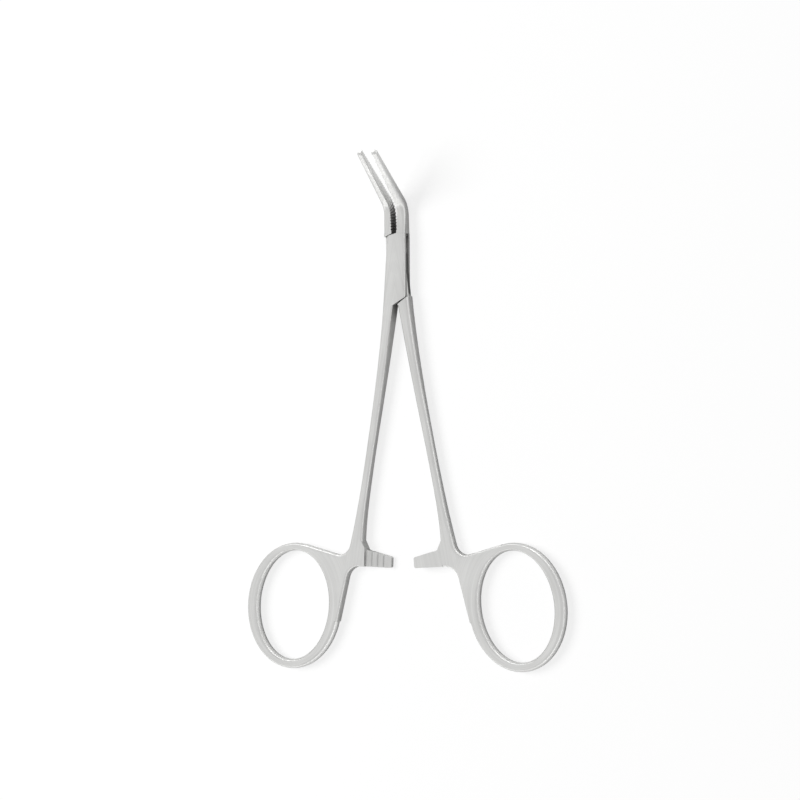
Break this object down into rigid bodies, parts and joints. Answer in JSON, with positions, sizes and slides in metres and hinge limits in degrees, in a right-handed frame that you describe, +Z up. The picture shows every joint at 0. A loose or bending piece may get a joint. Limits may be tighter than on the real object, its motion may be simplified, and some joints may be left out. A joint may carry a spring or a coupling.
{
  "type": "mosquito forceps",
  "caption": "Mosquito forceps with angled serrated jaws, a box lock, slim shanks, a toothed ratchet and oval finger rings, in satin stainless steel, lying partly open.",
  "frame": {"origin": "on the pivot axis, at the back cheek's flat face, in the plane that the forceps lie on", "axes": "+Y along the middle line from the finger rings to the jaw tips, +Z up out of that plane, +X towards the male half's ring"},
  "size_m": [0.0852, 0.1237, 0.017],
  "materials": {
    "satin_steel": "satin stainless steel, finely matted, with brighter worn edges",
    "pin_steel": "stainless steel ground flush with the cheeks"
  },
  "bodies": {
    "female": {"female_half": "satin_steel", "pivot_pin": "pin_steel"},
    "male": {"male_half": "satin_steel"}
  },
  "joints": [
    {"name": "box_lock_pivot", "type": "hinge", "parent": "female", "child": "male", "pos_m": [0, 0, 0], "axis": [0, 0, 1], "range_deg": [-5.8, 42]}
  ]
}
